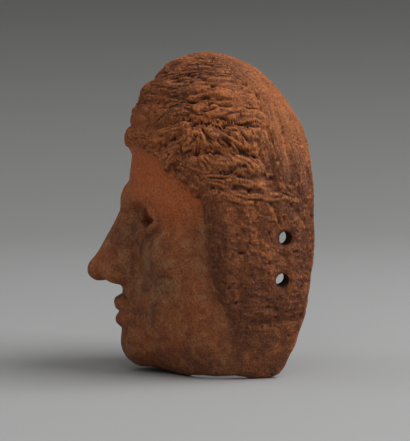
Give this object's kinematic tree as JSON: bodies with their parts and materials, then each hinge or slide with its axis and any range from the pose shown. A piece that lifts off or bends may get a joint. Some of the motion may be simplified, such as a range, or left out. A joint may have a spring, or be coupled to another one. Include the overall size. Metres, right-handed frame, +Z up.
{
  "type": "theatre mask",
  "caption": "Hollow fired-clay mask of a calm face with wavy combed hair, pierced eyes and drilled cord holes, open behind and below.",
  "frame": {"origin": "centre of the bounding box, on the surface that the mask stands on", "axes": "+Z up, -Y the way the face looks, +X the mask's own left"},
  "size_m": [0.1116, 0.1031, 0.155],
  "materials": {
    "clay": "worn unglazed fired clay, reddish brown with darker patches"
  },
  "bodies": {
    "root": {"mask": "clay"}
  },
  "joints": []
}
